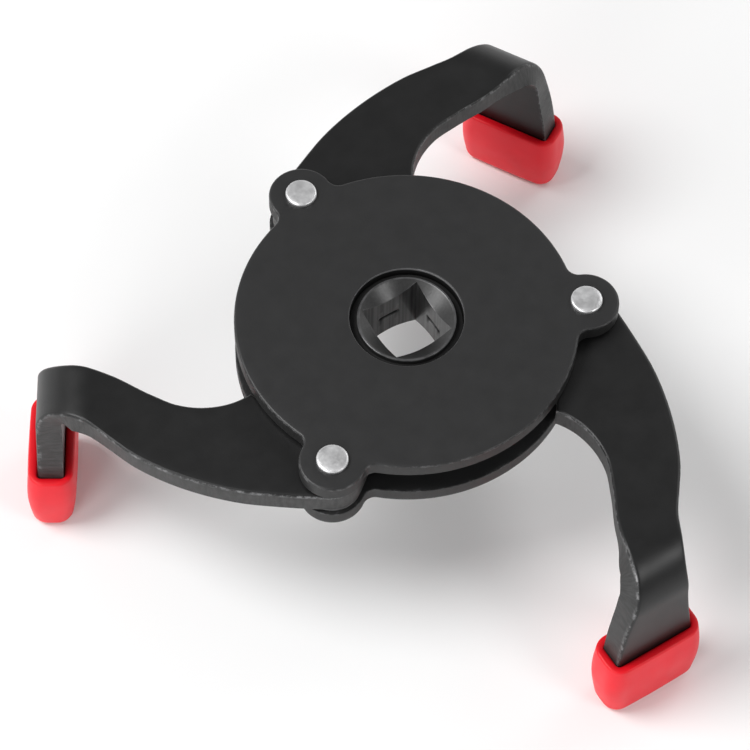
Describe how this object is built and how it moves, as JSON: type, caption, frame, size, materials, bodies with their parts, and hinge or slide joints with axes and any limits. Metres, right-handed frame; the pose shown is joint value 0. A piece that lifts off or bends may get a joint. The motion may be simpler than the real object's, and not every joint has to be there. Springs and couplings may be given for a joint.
{
  "type": "oil filter wrench",
  "caption": "Geared jaw wrench for spin-on oil filters: swinging arms between round plates, turned by a square drive.",
  "frame": {"origin": "on the drive axis, in the top plate's top face, at the mouth of the square drive", "axes": "+Z along the drive axis, away from the filter; +Y towards the first arm's pivot; the jaws hang towards -Z"},
  "size_m": [0.1451, 0.1335, 0.0474],
  "materials": {
    "black_plate": "satin black",
    "black_gear": "satin black",
    "black_arm": "satin black",
    "bright_rivet": "zinc plated",
    "steel_washer": "dull",
    "red_sleeve": "glossy soft vinyl"
  },
  "bodies": {
    "frame": {"top_plate": "black_plate", "bottom_plate": "black_plate", "pivot_rivet_1": "bright_rivet", "pivot_rivet_2": "bright_rivet", "pivot_rivet_3": "bright_rivet", "upper_washer_1": "steel_washer", "upper_washer_2": "steel_washer", "upper_washer_3": "steel_washer", "lower_washer_1": "steel_washer", "lower_washer_2": "steel_washer", "lower_washer_3": "steel_washer"},
    "drive": {"drive_gear": "black_gear"},
    "jaw_arm_1": {"arm_1": "black_arm", "jaw_sleeve_1": "red_sleeve"},
    "jaw_arm_2": {"arm_2": "black_arm", "jaw_sleeve_2": "red_sleeve"},
    "jaw_arm_3": {"arm_3": "black_arm", "jaw_sleeve_3": "red_sleeve"}
  },
  "joints": [
    {"name": "drive_spin", "type": "hinge", "parent": "frame", "child": "drive", "pos_m": [0, 0, 0], "axis": [0, 0, 1], "range_deg": [-6, 66]},
    {"name": "arm_1_swing", "type": "hinge", "parent": "frame", "child": "jaw_arm_1", "pos_m": [0, 0.03625, 0], "axis": [0, 0, 1], "range_deg": [-44.5, 4.5]},
    {"name": "arm_2_swing", "type": "hinge", "parent": "frame", "child": "jaw_arm_2", "pos_m": [-0.03139, -0.01812, 0], "axis": [0, 0, 1], "range_deg": [-44.5, 4.5]},
    {"name": "arm_3_swing", "type": "hinge", "parent": "frame", "child": "jaw_arm_3", "pos_m": [0.03139, -0.01812, 0], "axis": [0, 0, 1], "range_deg": [-44.5, 4.5]}
  ],
  "couplings": [
    {"joint": "arm_1_swing", "follows": "drive_spin", "ratio": -0.66667},
    {"joint": "arm_2_swing", "follows": "drive_spin", "ratio": -0.66667},
    {"joint": "arm_3_swing", "follows": "drive_spin", "ratio": -0.66667}
  ]
}
